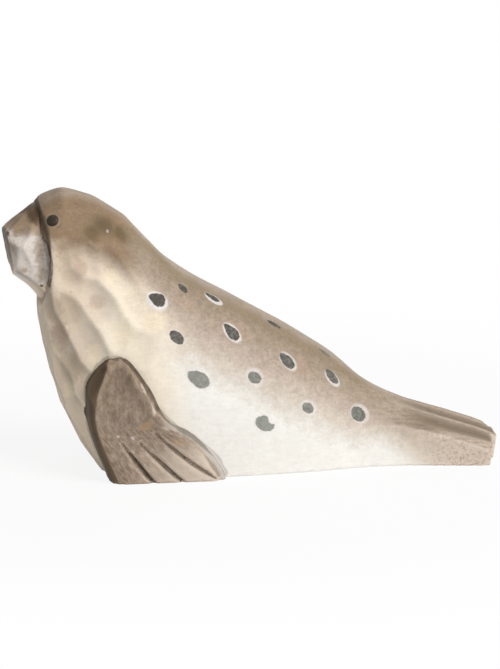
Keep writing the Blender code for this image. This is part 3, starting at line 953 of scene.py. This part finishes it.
    def flippers(self, coat):
        """Front flippers: mottled, dark along the leading edge from paint and painted shade, with
        painted shade on facets that face forward, and lines between the digits.
        """
        fan = self.mask("fan", "Vector")
        hatch = self.noise(self.stretched(fan, (1.5, 0.4, 1.0)), 1.0, 4.0, 0.65)
        low = self.step(self.z, *HATCH_HEIGHT)
        coarse = self.noise(self.stretched(self.at, (1.0, 1.0, 0.6)), 0.6, 5.0, 0.75)
        texture = self.mix(low, coarse, hatch)
        limb = self.mix(self.step(texture, -0.9, 1.2), FLIPPER_DARK, FLIPPER_BROWN)
        limb = self.mix(self.both(self.step(texture, 0.5, 1.5), 0.55), limb, FLIPPER_PALE)
        limb = self.mix(self.both(self.step(self.blotch, 0.2, 1.6), 0.45), limb, FLIPPER_DARK)
        shoulder = self.both(self.step(self.z, *SHOULDER_HEIGHT), 0.3)
        limb = self.mix(shoulder, limb, FLIPPER_DARK)
        digits = self.both(self.step(self.z, *DIGITS_HEIGHT), self.step(self.x, *DIGITS_ALONG))
        limb = self.mix(self.both(digits, 0.85), limb, FLIPPER_PALE)
        limb = self.mix(self.both(digits, self.step(texture, 0.0, -1.2), 0.7), limb, FLIPPER_BROWN)
        reach = self.mask("flipper")
        chipped = self.step(self.shaken(reach, texture, 0.3), *CHIPS_BLEND)
        chipped = self.both(chipped, self.step(self.x, *CHIPS_ALONG), 0.8)
        limb = self.mix(chipped, limb, CHIPPED_GREY)
        limb = self.dabbed(limb, "streak", FLIPPER_PALE, 0.6)
        limb = self.dabbed(limb, "ochre", OCHRE, 0.35)
        # Painted shade on the facets that face forward, away from the light
        cut = self.step(self.mask("facing_front"), *FLIPPER_SHADE_FORWARD)
        limb = self.mix(self.both(cut, 0.9), limb, FLIPPER_PAINTED_SHADE)
        # Dark paint along the leading edge, deepened as a painted shade
        lead = self.step(self.shaken(self.mask("lead"), self.speckle, 0.1), *LEAD_BLEND)
        lead = self.both(lead, self.step(self.z, *LEAD_HEIGHT), 0.85)
        limb = self.mix(lead, limb, FLIPPER_PAINTED_SHADE)
        groove = self.shaken(self.mask("groove"), self.speckle, 0.1)
        # Pale lips beside the grooves: speckled pale paint and a painted highlight
        beside = self.both(self.step(groove, *GROOVE_LIP_INNER), self.step(groove, *GROOVE_LIP_OUTER))
        beside = self.both(beside, self.step(self.grit, -0.4, 0.9), 0.5)
        limb = self.mix(beside, limb, FLIPPER_PALE)
        limb = self.mix(self.both(self.step(groove, *GROOVE_BLEND), 0.8), limb, GROOVE_DARK)
        edge = self.shaken(reach, self.speckle, 0.06)
        return self.mix(self.step(edge, *LIMB_BLEND), coat, limb)

    def wear(self, coat):
        """The knife's ridges are paler, from rubbed paint and a painted highlight; painted shade lies in
        the hollows, dirt stays in the grain, and the facets get painted light and shade.
        """
        # Ridges painted paler: rubbed paint and a painted highlight
        rubbed = self.both(self.step(self.ridge, 0.3, 1.6), 0.3)
        coat = self.mix(rubbed, coat, RIM_AND_HIGHLIGHT_WHITE, "SOFT_LIGHT")
        # Painted shade in the hollows
        hollow_shade = self.both(self.step(self.ridge, -0.4, -2.0), 0.35)
        coat = self.mix(hollow_shade, coat, SHADE_AND_MARK_DARK, "MULTIPLY")
        for dirt in (self.step(self.grain, -1.5, 1.5), self.step(self.speckle, 0.0, 1.6)):
            coat = self.mix(self.both(dirt, 0.1), coat, BACK_BROWN, "MULTIPLY")
        mottle = self.shaken(self.both(self.speckle, 0.14), self.grit, 0.11)
        mottle = self.shaken(mottle, self.blotch, 0.09)
        where = self.math("MULTIPLY_ADD", self.step(self.depth, *MOTTLE_DEPTH), 0.65, 0.35)
        shade = self.shaken(1.0, mottle, where)
        # Painted light and shade on the knife's facets
        shade = self.shaken(shade, self.mask("facet_light_shade"), FACET_SHADE_STRENGTH)
        coat = self.scaled(coat, self.math("MINIMUM", shade, BRIGHTEST))
        return self.dabbed(coat, "glint", RIM_AND_HIGHLIGHT_WHITE, 0.4, -0.1, 0.5)

    def finish(self):
        """All of the paints, one over another, and the grain's faint relief."""
        coat = self.wear(self.flippers(self.spots(self.head(self.tail(self.coat())))))
        eye = self.mask("eye")
        halo = self.both(self.step(eye, *EYE_HALO_OUTER), self.step(eye, *EYE_HALO_INNER), 0.3)
        coat = self.mix(halo, coat, BACK_EDGE)
        coat = self.mix(self.step(eye, *EYE_PAINT_BLEND), coat, EYE_BROWN)
        sole = self.both(self.step(self.z, *SOLE_HEIGHT), self.step(self.up, *SOLE_UP))
        self.feed(self.shader.inputs["Base Color"], self.mix(sole, coat, BARE_WOOD))
        roughness = self.shaken(PAINT_ROUGHNESS, self.blotch, 0.04)
        self.feed(self.shader.inputs["Roughness"], roughness)
        self.shader.inputs["Specular IOR Level"].default_value = PAINT_GLOSS
        relief = self.math("ADD", self.both(self.grain, 0.5), self.both(self.speckle, 0.5))
        bump = self.nodes.new("ShaderNodeBump")
        bump.inputs["Strength"].default_value = GRAIN_STRENGTH
        bump.inputs["Distance"].default_value = GRAIN_HEIGHT * MM
        self.feed(bump.inputs["Height"], relief)
        self.feed(self.shader.inputs["Normal"], bump.outputs["Normal"])
        return self.material


def eye_paint():
    """Dark brown paint with a faint sheen."""
    p = Paint("eye_paint")
    place = p.nodes.new("ShaderNodeTexCoord").outputs["Object"]
    worn = p.step(p.noise(place, 900.0), -0.5, 1.5)
    p.feed(p.shader.inputs["Base Color"], p.mix(worn, EYE_BLACK, EYE_BROWN))
    p.shader.inputs["Roughness"].default_value = EYE_ROUGHNESS
    p.shader.inputs["Specular IOR Level"].default_value = EYE_GLOSS
    return p.material


def make_eye(name, centre, normal, material):
    """A low painted dome, set in the face."""
    shape = bmesh.new()
    bmesh.ops.create_uvsphere(shape, u_segments=EYE_SEGMENTS, v_segments=EYE_RINGS, radius=1.0)
    size = Vector((EYE_RADIUS, EYE_RADIUS, EYE_RISE)) * MM
    bmesh.ops.scale(shape, vec=size, verts=shape.verts)
    mesh = bpy.data.meshes.new(name)
    shape.to_mesh(mesh)
    shape.free()
    mesh.shade_smooth()
    mesh.materials.append(material)
    eye = add_to_scene(name, mesh)
    eye.location = Vector(centre) * MM
    eye.rotation_mode = "QUATERNION"
    eye.rotation_quaternion = normal.to_track_quat("Z", "Y")
    return eye


def dress_seal():
    """The painted seal and its eyes, in place of the bare solid."""
    skin = make_skin()
    eyes = add_masks(skin)
    skin.store()
    skin.mesh.shade_smooth()
    skin.mesh.materials.clear()
    skin.mesh.materials.append(SealPaint().finish())
    seal = skin.object
    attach(seal, "root")
    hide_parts(SEAL)
    varnish = eye_paint()
    for name, (centre, normal) in zip(("near_eye", "far_eye"), eyes):
        eye = make_eye(name, centre, normal, varnish)
        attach(eye, "root")


def make_floor():
    """A plain white floor, large enough to fill the view, that keeps a soft shadow."""
    mesh = bpy.data.meshes.new("floor")
    mesh.from_pydata(FLOOR_CORNERS, [], [(0, 1, 2, 3)])
    p = Paint("floor_white")
    p.shader.inputs["Base Color"].default_value = FLOOR_WHITE
    p.shader.inputs["Roughness"].default_value = FLOOR_ROUGHNESS
    p.shader.inputs["Specular IOR Level"].default_value = FLOOR_GLOSS
    place = p.nodes.new("ShaderNodeTexCoord").outputs["Object"]
    away = p.step(p.vector("LENGTH", place), *FLOOR_FADE)
    away = p.math("MULTIPLY_ADD", away, 1 - FLOOR_SHARE, FLOOR_SHARE)
    path = p.nodes.new("ShaderNodeLightPath").outputs
    seen = p.math("ADD", path["Is Camera Ray"], path["Is Glossy Ray"])
    seen = p.math("ADD", seen, path["Is Transmission Ray"], clamp=True)
    white = p.nodes.new("ShaderNodeEmission")
    blend = p.nodes.new("ShaderNodeMixShader")
    p.feed(blend.inputs[0], p.both(away, seen))
    p.feed(blend.inputs[1], p.shader.outputs[0])
    p.feed(blend.inputs[2], white.outputs[0])
    p.feed(p.nodes["Material Output"].inputs["Surface"], blend.outputs[0])
    mesh.materials.append(p.material)
    floor = add_to_scene("floor", mesh)


def make_lamp(lamp):
    """A lamp in its place, turned to the seal."""
    toward = direction(lamp.azimuth, lamp.elevation)
    data = bpy.data.lights.new(lamp.name, "AREA")
    data.size = lamp.size
    data.energy = lamp.power
    box = add_to_scene(lamp.name, data)
    box.location = toward * lamp.distance
    box.rotation_mode = "QUATERNION"
    box.rotation_quaternion = toward.to_track_quat("Z", "Y")


def make_world():
    """A soft white sky, which is plain white where the camera sees it."""
    world = bpy.data.worlds.new("studio")
    world.use_nodes = True
    bpy.context.scene.world = world
    nodes, links = world.node_tree.nodes, world.node_tree.links
    path = nodes.new("ShaderNodeLightPath").outputs
    seen = path["Is Camera Ray"]
    for name in ("Is Glossy Ray", "Is Transmission Ray"):
        both = nodes.new("ShaderNodeMath")
        both.use_clamp = True
        links.new(seen, both.inputs[0])
        links.new(path[name], both.inputs[1])
        seen = both.outputs[0]
    strength = nodes.new("ShaderNodeMapRange")
    strength.inputs["To Min"].default_value = SKY_STRENGTH
    strength.inputs["To Max"].default_value = 1.0
    links.new(seen, strength.inputs["Value"])
    nodes["Background"].inputs["Color"].default_value = (1, 1, 1, 1)
    links.new(strength.outputs["Result"], nodes["Background"].inputs["Strength"])


def make_camera():
    """The photograph's view, with the seal's base a little below the middle."""
    back = direction(AZIMUTH, ELEVATION)
    right = direction(AZIMUTH + 90, 0)
    data = bpy.data.cameras.new("camera")
    data.sensor_width = SENSOR
    data.lens = SENSOR * CAMERA_DISTANCE / (PHOTO_HEIGHT / PIXELS_PER_METRE)
    data.clip_end = CLIP_END
    camera = add_to_scene("camera", data)
    camera.location = back.cross(right) * GROUND_BELOW_CENTRE + back * CAMERA_DISTANCE
    camera.rotation_mode = "QUATERNION"
    camera.rotation_quaternion = (-back).to_track_quat("-Z", "Y")
    bpy.context.scene.camera = camera


dress_seal()
make_floor()
make_world()
for soft_box in LAMPS:
    make_lamp(soft_box)
make_camera()
bpy.context.scene.view_settings.view_transform = "Standard"
